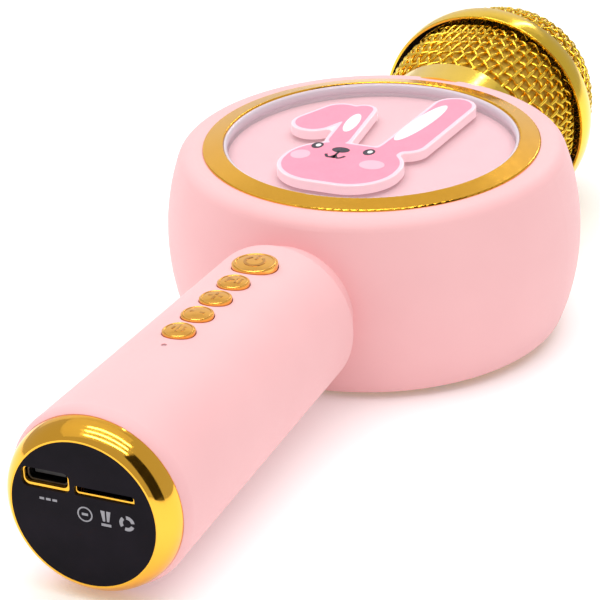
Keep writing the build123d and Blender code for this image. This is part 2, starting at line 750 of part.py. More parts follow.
with BuildPart() as capsule_stalk:
    add(tube(SPIGOT_R - 2.2, 4.5, SPIGOT_LOW_Y, SPIGOT_LOW_Y + 2).part)
    add(tube(6.5, 4.5, SPIGOT_LOW_Y + 2, CAPSULE_Y).part)
save(capsule_stalk, "capsule_stalk")

save(tube(9.6, 8.05, CAPSULE_Y, CAPSULE_Y + 9.0), "capsule_cradle")

with BuildPart() as mic_capsule:
    with BuildSketch(cross_plane(CAPSULE_Y + 10.0)):
        Circle(8.0)
    extrude(amount=10.0)
    with BuildSketch(cross_plane(CAPSULE_Y + 10.0)):
        with PolarLocations(4.0, 6):
            Circle(0.9)
        Circle(0.9)
    extrude(amount=0.8, mode=Mode.SUBTRACT)
save(mic_capsule, "mic_capsule")

# ---------------------------------------------------------------- wires held inside

save(
    wire(
        [
            (3.0, -57.0, WIRE_Z + 1.5),
            (3.0, -47.0, WIRE_Z + 1.5),
            (9.0, -30.0, WIRE_Z),
            (9.0, 18.0, WIRE_Z),
            (0.0, 40.0, AXIS_Z),
            (0.0, CAPSULE_Y - 0.2, AXIS_Z),
        ],
        6.0,
        0.8,
    ),
    "mic_wire",
)
save(
    wire([(17.5, -6.0, 29.9), (17.5, -6.0, 23.5), (20.0, -12.0, 15.5)], 2.5, 0.5),
    "speaker_wire",
)
save(
    wire([(-6.0, -57.5, AXIS_Z + 1.0), (-6.0, -48.0, AXIS_Z + 2.0), (-6.0, -31.0, 28.6)], 8.0, 0.8),
    "power_wire",
)
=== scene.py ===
import json
import math

import bmesh
import bpy
import numpy as np
from mathutils import Matrix, Vector


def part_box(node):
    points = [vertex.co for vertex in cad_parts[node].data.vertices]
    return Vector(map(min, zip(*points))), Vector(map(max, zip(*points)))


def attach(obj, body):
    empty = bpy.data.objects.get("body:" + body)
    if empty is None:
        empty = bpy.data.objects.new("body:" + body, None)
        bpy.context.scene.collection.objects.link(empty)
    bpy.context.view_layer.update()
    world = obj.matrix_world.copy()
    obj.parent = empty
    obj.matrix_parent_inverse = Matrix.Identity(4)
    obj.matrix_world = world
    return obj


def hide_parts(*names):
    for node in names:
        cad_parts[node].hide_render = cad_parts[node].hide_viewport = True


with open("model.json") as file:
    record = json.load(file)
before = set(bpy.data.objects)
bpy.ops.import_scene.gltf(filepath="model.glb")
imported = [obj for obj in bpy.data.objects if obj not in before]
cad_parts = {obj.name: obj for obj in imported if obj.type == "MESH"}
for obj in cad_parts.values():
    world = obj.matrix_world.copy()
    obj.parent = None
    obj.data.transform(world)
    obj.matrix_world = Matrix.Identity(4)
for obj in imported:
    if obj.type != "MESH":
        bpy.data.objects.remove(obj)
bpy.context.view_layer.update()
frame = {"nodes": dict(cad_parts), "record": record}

MM = 0.001
# Noise textures mostly lie between these two values.
NOISE_RANGE = (0.3, 0.7)
nodes = frame["nodes"]


def corners(node):
    """Lowest and highest corner of a CAD node, in millimetres."""
    low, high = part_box(node)
    return np.array(low) / MM, np.array(high) / MM


# ---------------------------------------------------------------- places read from the CAD model

band_low, band_high = corners("head_band")
AXIS_Z = (band_low[2] + band_high[2]) / 2
BAND_R = band_high[0]
mesh_low, mesh_high = corners("lower_mesh")
dome_low, dome_high = corners("upper_mesh")
collar_low, collar_high = corners("head_collar")
label_low, label_high = corners("end_label")
tray_low, tray_high = corners("lens_tray")
rabbit_low, rabbit_high = corners("rabbit_relief")

# ---------------------------------------------------------------- materials


class Finish:
    """One procedural material: a Principled shader and the nodes that vary it."""

    def __init__(self, name, **sockets):
        self.material = bpy.data.materials.new(name)
        self.material.use_nodes = True
        self.tree = self.material.node_tree
        self.shader = self.tree.nodes["Principled BSDF"]
        self.place = self.tree.nodes.new("ShaderNodeTexCoord").outputs["Object"]
        self.normal = None
        for socket, value in sockets.items():
            self.shader.inputs[socket.replace("_", " ")].default_value = value

    def link(self, source, target):
        self.tree.links.new(source, target)

    def noise(self, scale, detail=3.0, roughness=0.5, distortion=0.0, stretch=None):
        """Noise value over the object's own coordinates; scale is features per metre."""
        node = self.tree.nodes.new("ShaderNodeTexNoise")
        node.inputs["Scale"].default_value = scale
        node.inputs["Detail"].default_value = detail
        node.inputs["Roughness"].default_value = roughness
        node.inputs["Distortion"].default_value = distortion
        source = self.place
        if stretch:
            mapping = self.tree.nodes.new("ShaderNodeMapping")
            mapping.inputs["Scale"].default_value = stretch
            self.link(self.place, mapping.inputs["Vector"])
            source = mapping.outputs["Vector"]
        self.link(source, node.inputs["Vector"])
        return node.outputs["Fac"]

    def cells(self, scale, feature="F1"):
        """Voronoi distance over the object's own coordinates."""
        node = self.tree.nodes.new("ShaderNodeTexVoronoi")
        node.feature = feature
        node.inputs["Scale"].default_value = scale
        self.link(self.place, node.inputs["Vector"])
        return node.outputs["Distance"]

    def waves(self, scale, direction, distortion=0.0):
        """Bands along one axis."""
        node = self.tree.nodes.new("ShaderNodeTexWave")
        node.bands_direction = direction
        node.inputs["Scale"].default_value = scale
        node.inputs["Distortion"].default_value = distortion
        self.link(self.place, node.inputs["Vector"])
        return node.outputs["Fac"]

    def spread(self, value, socket, low, high):
        """Maps a texture value to a number on one of the shader's sockets."""
        node = self.tree.nodes.new("ShaderNodeMapRange")
        node.inputs["From Min"].default_value = NOISE_RANGE[0]
        node.inputs["From Max"].default_value = NOISE_RANGE[1]
        node.inputs["To Min"].default_value = low
        node.inputs["To Max"].default_value = high
        self.link(value, node.inputs["Value"])
        self.link(node.outputs["Result"], self.shader.inputs[socket])
        return self

    def tint(self, value, low, high, at=NOISE_RANGE):
        """Base colour between two colours."""
        ramp = self.tree.nodes.new("ShaderNodeValToRGB")
        ramp.color_ramp.elements[0].position = at[0]
        ramp.color_ramp.elements[1].position = at[1]
        ramp.color_ramp.elements[0].color = (*low, 1)
        ramp.color_ramp.elements[1].color = (*high, 1)
        self.link(value, ramp.inputs["Fac"])
        self.link(ramp.outputs["Color"], self.shader.inputs["Base Color"])
        return self

    def bump(self, value, strength, depth_mm):
        """Raises the surface by a texture value; a second call adds to the first."""
        node = self.tree.nodes.new("ShaderNodeBump")
        node.inputs["Strength"].default_value = strength
        node.inputs["Distance"].default_value = depth_mm * MM
        self.link(value, node.inputs["Height"])
        if self.normal:
            self.link(self.normal, node.inputs["Normal"])
        self.normal = node.outputs["Normal"]
        self.link(self.normal, self.shader.inputs["Normal"])
        return self


def soft_touch_pink():
    """Rubberised pink paint: fine moulded grain, slightly uneven gloss."""
    look = Finish(
        "soft_touch_pink",
        IOR=1.45,
        Specular_IOR_Level=0.32,
        Sheen_Weight=0.12,
        Sheen_Roughness=0.5,
    )
    look.tint(look.noise(55.0, 2.0), (0.885, 0.487, 0.497), (0.905, 0.507, 0.517))
    look.spread(look.noise(1400.0, 4.0), "Roughness", 0.46, 0.6)
    look.bump(look.noise(5200.0, 2.0), 0.16, 0.03)
    return look.material


def plated(name, low, high, wobble, shine=0.1):
    """Electroplated plastic or steel: polished, with a slow wobble and faint polishing marks."""
    look = Finish(name, Metallic=1.0, IOR=1.5)
    look.tint(look.noise(38.0, 3.0), low, high)
    look.spread(look.noise(620.0, 5.0), "Roughness", shine, shine + 0.1)
    look.bump(look.noise(74.0, 2.0), wobble, 0.5)
    look.bump(look.noise(900.0, 3.0, stretch=(1, 0.2, 1)), 0.04, 0.02)
    return look.material


def satin_black():
    """Smooth black film of the end label."""
    look = Finish("satin_label_black", IOR=1.4, Specular_IOR_Level=0.09)
    look.tint(look.noise(160.0, 3.0), (0.007, 0.0052, 0.0082), (0.0105, 0.0075, 0.012))
    look.spread(look.noise(900.0, 3.0), "Roughness", 0.34, 0.44)
    look.bump(look.noise(2600.0, 2.0), 0.1, 0.02)
    return look.material


def clear_plastic(name, tint, alpha, roughness, glow=0.0):
    """Clear or milky acrylic with faint rub marks; glow is painted light that brightens its shaded
    walls.
    """
    look = Finish(name, IOR=1.49, Alpha=alpha, Specular_IOR_Level=0.35)
    look.shader.inputs["Emission Color"].default_value = (*tint, 1)
    look.shader.inputs["Emission Strength"].default_value = glow
    look.tint(look.noise(70.0, 2.0), tint, tuple(c * 0.985 for c in tint))
    look.spread(look.noise(420.0, 4.0), "Roughness", roughness, roughness + 0.05)
    look.bump(look.noise(120.0, 2.0), 0.05, 0.05)
    return look.material


def printed(name, low, high, roughness=0.32):
    """Printed ink or card under a clear coat, with a fine print grain."""
    look = Finish(name, IOR=1.48, Specular_IOR_Level=0.3)
    look.tint(look.noise(240.0, 4.0), low, high)
    look.spread(look.noise(1300.0, 3.0), "Roughness", roughness, roughness + 0.12)
    look.bump(look.cells(3800.0), 0.05, 0.01)
    return look.material


def moulded(name, low, high, roughness, grain=2200.0, depth=0.04):
    """Plain moulded plastic or rubber."""
    look = Finish(name, IOR=1.48, Specular_IOR_Level=0.4)
    look.tint(look.noise(190.0, 3.0), low, high)
    look.spread(look.noise(700.0, 3.0), "Roughness", roughness, roughness + 0.14)
    look.bump(look.noise(grain, 3.0), 0.25, depth)
    return look.material


def plain_metal(name, low, high, roughness, stretch=(1, 1, 0.08)):
    """Bare or zinc-plated metal with drawn marks."""
    look = Finish(name, Metallic=1.0)
    look.tint(look.noise(210.0, 4.0), low, high)
    look.spread(look.noise(1500.0, 4.0, stretch=stretch), "Roughness", roughness, roughness + 0.18)
    look.bump(look.noise(2400.0, 3.0, stretch=stretch), 0.12, 0.02)
    return look.material


def open_foam():
    """Black open-cell foam, with cells as deep pits."""
    look = Finish("open_cell_foam", IOR=1.4, Specular_IOR_Level=0.15, Sheen_Weight=0.2)
    look.tint(look.noise(900.0, 4.0), (0.012, 0.011, 0.01), (0.05, 0.046, 0.04))
    look.spread(look.noise(500.0), "Roughness", 0.85, 0.98)
    look.bump(look.cells(1500.0), 0.9, 0.5)
    return look.material


def gauze():
    """Fine woven brass cloth that lines the coarse mesh."""
    look = Finish("brass_gauze", Metallic=0.35)
    look.tint(look.noise(1500.0, 3.0), (0.62, 0.40, 0.035), (0.86, 0.60, 0.075))
    look.spread(look.noise(800.0), "Roughness", 0.42, 0.6)
    look.bump(look.waves(900.0, "Y", 2.0), 0.5, 0.12)
    look.bump(look.waves(900.0, "X", 2.0), 0.5, 0.12)
    return look.material


def circuit_board():
    """Solder mask with the shadow of copper tracks under it."""
    look = Finish("solder_mask_green", IOR=1.5, Coat_Weight=0.5, Coat_Roughness=0.1)
    look.tint(look.cells(420.0), (0.012, 0.085, 0.04), (0.03, 0.16, 0.07), at=(0.2, 0.45))
    look.spread(look.noise(900.0), "Roughness", 0.3, 0.42)
    look.bump(look.cells(420.0), 0.3, 0.04)
    return look.material


def paper_pulp():
    """Black pressed paper of the loudspeaker cone."""
    look = Finish("pressed_paper_pulp", Specular_IOR_Level=0.2)
    look.tint(look.noise(1300.0, 5.0), (0.012, 0.012, 0.013), (0.04, 0.04, 0.042))
    look.spread(look.noise(700.0), "Roughness", 0.7, 0.9)
    look.bump(look.noise(1800.0, 5.0), 0.6, 0.1)
    return look.material


PINK = soft_touch_pink()
GOLD = plated("plated_gold", (0.90, 0.45, 0.04), (0.95, 0.50, 0.055), 0.03)
CAP_GOLD = plated("plated_cap_gold", (0.95, 0.48, 0.05), (0.98, 0.53, 0.065), 0.16, 0.04)
BUTTON_GOLD = plated("plated_button_gold", (0.88, 0.43, 0.07), (0.94, 0.48, 0.10), 0.05, 0.16)
SIGN_BROWN = plated("button_sign_bronze", (0.60, 0.27, 0.06), (0.70, 0.33, 0.08), 0.04, 0.2)
HEAD_GOLD = plated("plated_lemon_gold", (0.88, 0.57, 0.05), (0.95, 0.63, 0.065), 0.04)
WIRE_GOLD = plated("plated_wire_gold", (0.84, 0.53, 0.035), (0.95, 0.63, 0.07), 0.05)
BLACK_LABEL = satin_black()
CLEAR = clear_plastic("clear_acrylic_tray", (0.93, 0.88, 0.91), 0.14, 0.05)
# The tray wall's lilac-grey tone is painted shade and its faint glow is painted light.
TRAY_WALL = clear_plastic("frosted_tray_wall", (0.78, 0.69, 0.76), 0.8, 0.12, 0.05)
# The relief's glow is painted light on its shaded side walls.
RELIEF = clear_plastic("clear_acrylic_relief", (0.90, 0.66, 0.70), 0.85, 0.08, 0.28)
PANEL = printed("panel_card_pink", (0.82, 0.455, 0.495), (0.84, 0.475, 0.515), 0.42)
FUR_PINK = printed("ink_rabbit_pink", (0.98, 0.285, 0.40), (1.0, 0.305, 0.425))
CHEEK_PINK = printed("ink_cheek_pink", (0.96, 0.47, 0.57), (0.98, 0.495, 0.595))
INK_WHITE = printed("ink_white", (0.86, 0.83, 0.85), (0.90, 0.87, 0.885))
INK_DARK = printed("ink_dark", (0.03, 0.022, 0.035), (0.05, 0.036, 0.055))
INK_GREY = printed("ink_grey", (0.30, 0.29, 0.32), (0.38, 0.37, 0.40), 0.5)
EDGE_WHITE = printed("ink_pale_edge", (0.96, 0.60, 0.70), (0.98, 0.63, 0.72))

BUTTONS = ("power", "play", "volume_up", "volume_down", "voice")

FINISHES = {
    "shell_pink": PINK,
    "gold_trim": GOLD,
    "gold_head": HEAD_GOLD,
    "label_black": BLACK_LABEL,
    "clear_acrylic": CLEAR,
    "panel_print": PANEL,
    "black_plastic": moulded("moulded_black", (0.012, 0.012, 0.014), (0.026, 0.026, 0.029), 0.4),
    "steel": plain_metal("zinc_plated_steel", (0.5, 0.5, 0.51), (0.66, 0.66, 0.68), 0.24),
    "rubber_black": moulded(
        "soft_black_rubber",
        (0.01, 0.01, 0.011),
        (0.022, 0.022, 0.024),
        0.66,
        900.0,
        0.08,
    ),
    "foam_black": open_foam(),
    "board_green": circuit_board(),
    "ferrite": moulded(
        "sintered_ferrite",
        (0.02, 0.02, 0.022),
        (0.045, 0.045, 0.048),
        0.5,
        700.0,
        0.1,
    ),
    "paper_cone": paper_pulp(),
    "copper": plain_metal(
        "enamelled_copper",
        (0.55, 0.2, 0.08),
        (0.72, 0.3, 0.12),
        0.22,
        (1, 1, 6),
    ),
    "cell_wrap": printed("cell_shrink_wrap", (0.02, 0.13, 0.32), (0.03, 0.17, 0.38), 0.22),
    "wire_black": moulded(
        "wire_insulation",
        (0.012, 0.012, 0.013),
        (0.024, 0.024, 0.026),
        0.5,
        1500.0,
        0.02,
    ),
    "light_pipe": moulded("smoked_light_pipe", (0.52, 0.33, 0.35), (0.60, 0.38, 0.40), 0.3),
}
for part in frame["record"]["subparts"]:
    slots = nodes[part["node"]].data.materials
    slots.clear()
    slots.append(FINISHES[part["material_slot"]])
nodes["rabbit_relief"].data.materials[0] = RELIEF
nodes["end_cap"].data.materials[0] = CAP_GOLD
# Darkened metal for the port receptacles: painted shade for the shadowed insides of the openings.
port_painted_shade_metal = plain_metal("nickel_painted_shade", (0.05, 0.045, 0.045), (0.09, 0.085, 0.08), 0.35)
for port in ("usb_receptacle", "card_socket"):
    nodes[port].data.materials[0] = port_painted_shade_metal
for button in BUTTONS:
    nodes[f"{button}_button"].data.materials[0] = BUTTON_GOLD

# ---------------------------------------------------------------- mesh helpers


def piece(name, verts, faces, material, body, smooth=True):
    """New mesh piece from points in millimetres."""
    mesh = bpy.data.meshes.new(name)
    mesh.from_pydata([tuple(c * MM for c in v) for v in verts], [], faces)
    mesh.update()
    work = bmesh.new()
    work.from_mesh(mesh)
    bmesh.ops.recalc_face_normals(work, faces=work.faces)
    work.to_mesh(mesh)
    work.free()
    for face in mesh.polygons:
        face.use_smooth = smooth
    mesh.materials.append(material)
    made = bpy.data.objects.new(name, mesh)
    bpy.context.scene.collection.objects.link(made)
    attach(made, body)
    return made


def ring_of(points, steps, turn):
    """Faces and points of a closed section turned round an axis by turn(point, angle)."""
    verts, faces, count = [], [], len(points)
    for k in range(steps):
        angle = 2 * math.pi * k / steps
        verts += [turn(p, angle) for p in points]
    for k in range(steps):
        for n in range(count):
            a, b = k * count + n, k * count + (n + 1) % count
            c, d = ((k + 1) % steps) * count + (n + 1) % count, ((k + 1) % steps) * count + n
            faces.append((a, b, c, d))
    return verts, faces


def long_turn(p, angle):
    """Point (y, radius) turned round the microphone's long axis."""
    return (p[1] * math.cos(angle), p[0], AXIS_Z + p[1] * math.sin(angle))


def plate(name, loop, lift, thick, material, body, bevel=0.0):
    """Flat or curved plate under a closed loop of (x, y); lift(x, y) is its top height."""
    count = len(loop)
    top = [(x, y, lift(x, y)) for x, y in loop]
    low = [(x, y, lift(x, y) - thick) for x, y in loop]
    faces = [tuple(range(count)), tuple(range(2 * count - 1, count - 1, -1))]
    faces += [(k, (k + 1) % count, count + (k + 1) % count, count + k) for k in range(count)]
    made = piece(name, top + low, faces, material, body, smooth=False)
    if bevel:
        soften = made.modifiers.new("soft_edge", "BEVEL")
        soften.width = bevel * MM
        soften.segments = 2
        soften.limit_method = "ANGLE"
    return made


# ---------------------------------------------------------------- woven mesh of the head

WIRE_R = 0.42
CRIMP = 0.37
MID_DEPTH = WIRE_R + CRIMP
CELL_ALONG = 3.1
CELL_ACROSS = 2.7
CLOTH_TURN = math.radians(46)
# Pressed wires stretch, so the cloth lies part of the way from an inextensible net to a plain fan.
STRETCH = 0.55
# Points along a wire for each crossing, and sides of its round section.
STEPS = 5
SIDES = 8
# Crossings counted out from the pole, and the rounds in which their places settle.
NET_REACH = 40
SETTLE_ROUNDS = 12
NEWTON_ROUNDS = 40
CLOSE_ENOUGH = 1e-5
FLAT_SLOPE = 1e-6
SMALL = 1e-4
# Longest step of one Newton round, in millimetres and radians.
MAX_STEP = 1.5
MAX_TURN = 0.12
NORMAL_STEP = 0.2


class Bowl:
    """Surface of revolution on the long axis, by distance from its pole and angle."""

    def __init__(self, points):
        points = np.array(points, float)
        gaps = np.hypot(*np.diff(points, axis=0).T)
        self.s = np.r_[0, np.cumsum(gaps)]
        self.y, self.r = points[:, 0], points[:, 1]

    def at(self, s, angle):
        r = np.interp(s, self.s, self.r)
        return np.array([r * math.cos(angle), np.interp(s, self.s, self.y), r * math.sin(angle)])

    def normal(self, s, angle):
        rise = self.at(s + NORMAL_STEP, angle) - self.at(max(s - NORMAL_STEP, 0.0), angle)
        side = np.array([-math.sin(angle), 0, math.cos(angle)])
        out = np.cross(side, rise)
        out /= np.linalg.norm(out)
        return out if out @ np.array([math.cos(angle), 0, math.sin(angle)]) >= -0.02 else -out


def drape(bowl):
    """Crossings of a cloth of inextensible wires laid on the bowl, one quarter of it."""
    net = {(0, 0): (0.0, 0.0)}
    for axis, cell, angle in ((0, CELL_ALONG, 0.0), (1, CELL_ACROSS, math.pi / 2)):
        s, k = 0.0, 0
        while True:
            ahead = s + cell
            for _ in range(SETTLE_ROUNDS):
                ahead += cell - np.linalg.norm(bowl.at(ahead, angle) - bowl.at(s, angle))
            if ahead > bowl.s[-1]:
                break
            s, k = ahead, k + 1
            net[(k, 0) if axis == 0 else (0, k)] = (s, angle)
    for j in range(1, NET_REACH):
        for i in range(1, NET_REACH):
            known = [net.get((i - 1, j)), net.get((i, j - 1)), net.get((i - 1, j - 1))]
            if None in known:
                continue
            found = meet(bowl, *known)
            if found:
                net[(i, j)] = found
    return net


def meet(bowl, left, below, diagonal):
    """Point one cell from both neighbours, found by Newton's method."""
    p, q = bowl.at(*left), bowl.at(*below)
    guess = p + q - bowl.at(*diagonal)
    state = np.array([left[0] + below[0] - diagonal[0], math.atan2(guess[2], guess[0])])

    def miss(value):
        x = bowl.at(*value)
        return np.array([np.linalg.norm(x - p) - CELL_ALONG, np.linalg.norm(x - q) - CELL_ACROSS])

    for _ in range(NEWTON_ROUNDS):
        error = miss(state)
        if abs(error).max() < CLOSE_ENOUGH:
            inside = max(left[0], below[0]) - 0.5 < state[0] < bowl.s[-1] - 0.01
            return (state[0], state[1]) if inside else None
        by_distance = (miss(state + [SMALL, 0]) - error) / SMALL
        by_angle = (miss(state + [0, SMALL]) - error) / SMALL
        slope = np.c_[by_distance, by_angle]
        if abs(np.linalg.det(slope)) < FLAT_SLOPE:
            return None
        step = np.linalg.solve(slope, -error)
        state = state + step / max(abs(step[0]) / MAX_STEP, abs(step[1]) / MAX_TURN, 1.0)
    return None


def mirrored(net, i, j):
    """Crossing i, j of the whole cloth from the quarter that was worked out."""
    found = net.get((abs(i), abs(j)))
    if not found:
        return None
    across, along = abs(j) * CELL_ACROSS, abs(i) * CELL_ALONG
    s = found[0] + STRETCH * (math.hypot(across, along) - found[0])
    angle = found[1] + STRETCH * (math.atan2(across, along) - found[1])
    if i < 0:
        angle = math.pi - angle
    if j < 0:
        angle = -angle
    return s, angle + CLOTH_TURN


def wire_path(bowl, net, fixed, along_i):
    """Points and normals of one wire, waving over and under the wires it crosses."""
    runs, run = [], []
    for k in range(1 - NET_REACH, NET_REACH):
        i, j = (k, fixed) if along_i else (fixed, k)
        found = mirrored(net, i, j)
        if found:
            over = 1 if (i + j) % 2 == 0 else -1
            run.append((bowl.at(*found), bowl.normal(*found), over if along_i else -over))
        elif run:
            runs.append(run)
            run = []
    if run:
        runs.append(run)
    for run in runs:
        if len(run) < 3:
            continue
        points = []
        for n in range(len(run) - 1):
            a, b = run[n], run[n + 1]
            before = run[n - 1][0] if n else 2 * a[0] - b[0]
            after = run[n + 2][0] if n + 2 < len(run) else 2 * b[0] - a[0]
            for step in range(STEPS):
                t = step / STEPS
                curve = 0.5 * (
                    2 * a[0]
                    + (b[0] - before) * t
                    + (2 * before - 5 * a[0] + 4 * b[0] - after) * t**2
                    + (3 * a[0] - before - 3 * b[0] + after) * t**3
                )
                normal = a[1] * (1 - t) + b[1] * t
                normal /= np.linalg.norm(normal)
                points.append((curve + normal * CRIMP * a[2] * math.cos(math.pi * t), normal))
        yield points


def woven(name, bowl, low_y, high_y, body, replaced):
    """Round wires woven one over one, as one mesh between two heights on the long axis."""
    net = drape(bowl)
    verts, faces = [], []
    reach = max(max(key) for key in net)
    for along_i in (True, False):
        for fixed in range(-reach, reach + 1):
            for path in wire_path(bowl, net, fixed, along_i):
                keep = [low_y <= p[1] <= high_y for p, _ in path]
                start = None
                for n in range(len(path) + 1):
                    inside = n < len(path) and keep[n]
                    if inside and start is None:
                        start = n
                    if not inside and start is not None:
                        if n - start > 2:
                            tube(verts, faces, path[start:n])
                        start = None
    made = piece(name, verts, faces, WIRE_GOLD, body)
    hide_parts(replaced)
    return made


def tube(verts, faces, path):
    """Adds a round tube with closed ends along a path of points and normals."""
    first = len(verts)
    for n, (p, normal) in enumerate(path):
        ahead = path[min(n + 1, len(path) - 1)][0] - path[max(n - 1, 0)][0]
        ahead /= np.linalg.norm(ahead)
        side = np.cross(ahead, normal)
        side /= np.linalg.norm(side)
        up = np.cross(side, ahead)
        for k in range(SIDES):
            angle = 2 * math.pi * k / SIDES
            x = p + WIRE_R * (math.cos(angle) * side + math.sin(angle) * up)
            verts.append((x[0], x[1], x[2] + AXIS_Z))
    for n in range(len(path) - 1):
        a = first + n * SIDES
        for k in range(SIDES):
            beside = (k + 1) % SIDES
            faces.append((a + k, a + beside, a + SIDES + beside, a + SIDES + k))
    last = first + (len(path) - 1) * SIDES
    faces.append(tuple(first + k for k in range(SIDES)))
    faces.append(tuple(last + k for k in range(SIDES)))


def through_three(a, b, c, count):
    """Points on the arc from a through b to c."""
    (ax, ay), (bx, by), (cx, cy) = a, b, c
    twice = 2 * (ax * (by - cy) + bx * (cy - ay) + cx * (ay - by))
    aa, bb, cc = ax**2 + ay**2, bx**2 + by**2, cx**2 + cy**2
    ox = (aa * (by - cy) + bb * (cy - ay) + cc * (ay - by)) / twice
    oy = (aa * (cx - bx) + bb * (ax - cx) + cc * (bx - ax)) / twice
    radius = math.hypot(ax - ox, ay - oy)
    start, stop = math.atan2(ay - oy, ax - ox), math.atan2(cy - oy, cx - ox)
    sweep = (stop - start + math.pi) % (2 * math.pi) - math.pi
    angles = [start + sweep * k / count for k in range(count + 1)]
    return [(ox + radius * math.cos(t), oy + radius * math.sin(t)) for t in angles]


MESH_LOW_R = collar_high[0] - 0.4
MESH_R = dome_high[0]
MESH_BOTTOM, MESH_TOP = mesh_low[1], mesh_high[1]
# A point on the lower bowl's outer surface, halfway up: place along the axis and radius.
BULGE = (59.0, 23.2)
DOME_Y, TIP_Y = dome_low[1], dome_high[1]


def bowl_profile(depth):
    """Lower bowl's (y, radius) at a depth under its outer surface, from collar to band."""
    return through_three(
        (MESH_BOTTOM, MESH_LOW_R - depth), (BULGE[0], BULGE[1] - depth), (MESH_TOP, MESH_R - depth), 30
    )


def dome_profile(depth, count=60):
    """Upper dome's (y, radius) at a depth under its outer surface, from tip to band."""
    high, wide = TIP_Y - DOME_Y - depth, MESH_R - depth
    quarter = [math.pi / 2 * k / count for k in range(count + 1)]
    return [(DOME_Y + high * math.cos(t), wide * math.sin(t)) for t in quarter]


floor_of_bowl = [(MESH_BOTTOM - 1.0, 0.001), (MESH_BOTTOM - 1.0, 17.0)]
lower_bowl = Bowl(floor_of_bowl + bowl_profile(MID_DEPTH) + [(MESH_TOP + 10, MESH_R - MID_DEPTH)])
woven("woven_lower_mesh", lower_bowl, MESH_BOTTOM - 0.2, MESH_TOP - 0.4, "head", "lower_mesh")
upper_bowl = Bowl(dome_profile(MID_DEPTH) + [(DOME_Y - 10, MESH_R - MID_DEPTH)])
woven("woven_upper_mesh", upper_bowl, DOME_Y - 1.6, TIP_Y, "head", "upper_mesh")

LINER_DEPTH, LINER_T = 1.68, 0.1
GAUZE = gauze()
for name, outline, replaced in (
    ("gauze_lower", bowl_profile, "lower_mesh"),
    ("gauze_upper", dome_profile, "upper_mesh"),
):
    outer, inner = outline(LINER_DEPTH), outline(LINER_DEPTH + LINER_T)
    section = [(y, max(r, 0.02)) for y, r in outer + inner[::-1]]
    verts, faces = ring_of(section, 128, long_turn)
    lining = piece(name, verts, faces, GAUZE, "head")
    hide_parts(replaced)

# Dark sheet of painted shade in the gap between the band and the mesh.
SHADE_SHEET_T = 0.08
shade_sheet_low = band_low[1] + 0.6
shade_sheet_top = MESH_TOP - 0.02
shade_sheet_out = BAND_R - 1.02
shade_sheet_in = MESH_R + 0.05
shade_sheet = [
    (shade_sheet_low, shade_sheet_out),
    (shade_sheet_top, shade_sheet_out),
    (shade_sheet_top, shade_sheet_in),
    (shade_sheet_top - SHADE_SHEET_T, shade_sheet_in),
    (shade_sheet_top - SHADE_SHEET_T, shade_sheet_out - SHADE_SHEET_T),
    (shade_sheet_low, shade_sheet_out - SHADE_SHEET_T),
]
verts, faces = ring_of(shade_sheet, 160, long_turn)
# This dark sheet is painted shade for the shadowed gap inside the band, not a real part.
piece("band_gap_painted_shade", verts, faces, FINISHES["rubber_black"], "head")

# ---------------------------------------------------------------- clear tray: pane and frosted wall


def upright_turn(p, angle):
    """Point (radius, height) turned round the drum's axis."""
    return (p[0] * math.cos(angle), p[0] * math.sin(angle), p[1])


TRAY_R = tray_high[0]
TRAY_TOP = tray_high[2]
TRAY_FLOOR = rabbit_low[2]
TRAY_WALL_T = 0.8
TRAY_CORNER = 0.1
TRAY_RIM_W = 0.35
TRAY_SLOPE = 0.5
PANE_T = 0.9
PANE_GAP = 0.02
TRAY_SIDES = 192
tray_wall = [
    (TRAY_R, tray_low[2]),
    (TRAY_R, TRAY_TOP - TRAY_CORNER),
    (TRAY_R - TRAY_CORNER, TRAY_TOP),
    (TRAY_R - TRAY_RIM_W, TRAY_TOP),
    (TRAY_R - TRAY_WALL_T, TRAY_TOP - TRAY_SLOPE),
    (TRAY_R - TRAY_WALL_T, tray_low[2]),
]
verts, faces = ring_of(tray_wall, TRAY_SIDES, upright_turn)
wall = piece("tray_wall", verts, faces, TRAY_WALL, "housing")
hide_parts("lens_tray")
pane_r = TRAY_R - TRAY_WALL_T - PANE_GAP
pane_angles = [2 * math.pi * k / TRAY_SIDES for k in range(TRAY_SIDES)]
pane_loop = [upright_turn((pane_r, 0), angle)[:2] for angle in pane_angles]
pane_top = TRAY_FLOOR - 0.01
pane = plate(
    "tray_pane", pane_loop, lambda x, y: pane_top, PANE_T, CLEAR, "housing"
)
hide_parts("lens_tray")

# ---------------------------------------------------------------- rabbit print on the relief


def rounded(x, y, cx, cy, half_w, half_h, r):
    """Signed distance to a rectangle with rounded corners."""
    dx, dy = abs(x - cx) - half_w + r, abs(y - cy) - half_h + r
    return math.hypot(max(dx, 0), max(dy, 0)) + min(max(dx, dy), 0) - r


def slot_shape(x, y, cx, cy, length, width, degrees):
    """Signed distance to a round-ended bar."""
    c, s = math.cos(math.radians(degrees)), math.sin(math.radians(degrees))
    u, v = (x - cx) * c + (y - cy) * s, -(x - cx) * s + (y - cy) * c
    u = max(abs(u) - (length - width) / 2, 0)
    return math.hypot(u, v) - width / 2


def blend_min(a, b, soft):
    """Smaller of two distances, with a soft join."""
    h = max(soft - abs(a - b), 0) / soft
    return min(a, b) - h * h * soft / 4


# The relief's head: centre, half its width and height, and the radius of its corners.
HEAD_X = -0.8
HEAD_Y = -15.6
HEAD_HALF_W = 14.25
HEAD_HALF_H = 11.5
HEAD_CORNER_R = 10.9
EAR_BLEND = 0.9
# The relief's ears as round-ended bars: centre X, centre Y, length, width, angle.
RABBIT_EARS = (
    (9.8, 11.5, 34.9, 10.6, 86),
    (7.0, -3.5, 20.0, 7.6, 79),
    (-7.4, 5.7, 25.0, 6.7, 96),
    (-14.5, 8.2, 18.9, 10.9, 66),
)


def rabbit(x, y):
    """Signed distance to the rabbit's outline, negative inside."""
    d = rounded(x, y, HEAD_X, HEAD_Y, HEAD_HALF_W, HEAD_HALF_H, HEAD_CORNER_R)
    for ear in RABBIT_EARS:
        d = blend_min(d, slot_shape(x, y, *ear), EAR_BLEND)
    return d


